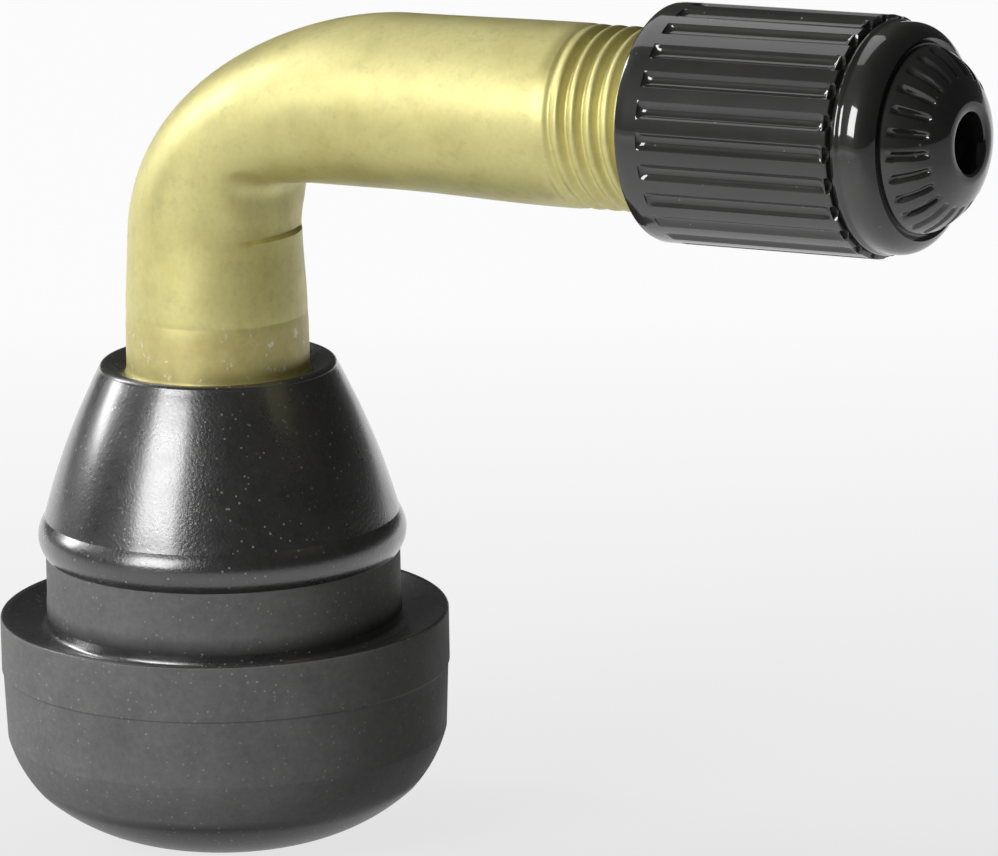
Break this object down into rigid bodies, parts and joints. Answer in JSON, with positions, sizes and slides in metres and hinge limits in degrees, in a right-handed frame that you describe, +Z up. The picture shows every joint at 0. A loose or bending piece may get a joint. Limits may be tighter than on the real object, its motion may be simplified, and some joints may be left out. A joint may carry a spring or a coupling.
{
  "type": "tubeless tyre valve",
  "caption": "Right-angled snap-in tubeless tyre valve: bent brass stem bonded into a rubber base, with a sprung valve core inside and a ribbed black dust cap screwed on its mouth.",
  "frame": {"origin": "centre of the flange's flat sealing lip, which seats on the inner face of the wheel rim", "axes": "+Z up the rubber base's axis, from the rim seat towards the bend; +X the way the bent leg and its cap point; +Y across the leg"},
  "size_m": [0.0467, 0.0194, 0.0387],
  "materials": {
    "stem_brass": "pale satin brass, drawn and bent, with soft highlights",
    "base_rubber": "charcoal moulded rubber, glossier on the cone than on the flange",
    "cap_plastic": "black moulded plastic, semi-gloss",
    "seal_rubber": "matt black sealing rubber",
    "core_brass": "turned brass",
    "core_steel": "drawn steel wire"
  },
  "bodies": {
    "stem": {"valve_stem": "stem_brass", "rubber_body": "base_rubber", "core_plug": "core_brass", "core_barrel": "core_brass", "barrel_gasket": "seal_rubber", "core_spring": "core_steel"},
    "pin": {"valve_pin": "core_steel", "plunger_cup": "core_brass", "cup_gasket": "seal_rubber"},
    "seal": {"cap_seal": "seal_rubber"},
    "cap": {"dust_cap": "cap_plastic"}
  },
  "joints": [
    {"name": "cap_lift", "type": "slide", "parent": "stem", "child": "seal", "axis": [0.9994, 0, 0.0349], "range_m": [0, 0.00953]},
    {"name": "cap_turn", "type": "hinge", "parent": "seal", "child": "cap", "pos_m": [0.03328, 0, 0.02401], "axis": [0.9994, 0, 0.0349], "range_deg": [0, 4320]},
    {"name": "pin_press", "type": "slide", "parent": "stem", "child": "pin", "axis": [-0.9994, 0, -0.0349], "range_m": [0, 0.0012], "stiffness_N_per_m": 1500, "springref_m": -0.002, "deforming": ["core_spring"]}
  ],
  "couplings": [
    {"joint": "cap_turn", "follows": "cap_lift", "rad_per_m": 7915.8}
  ]
}
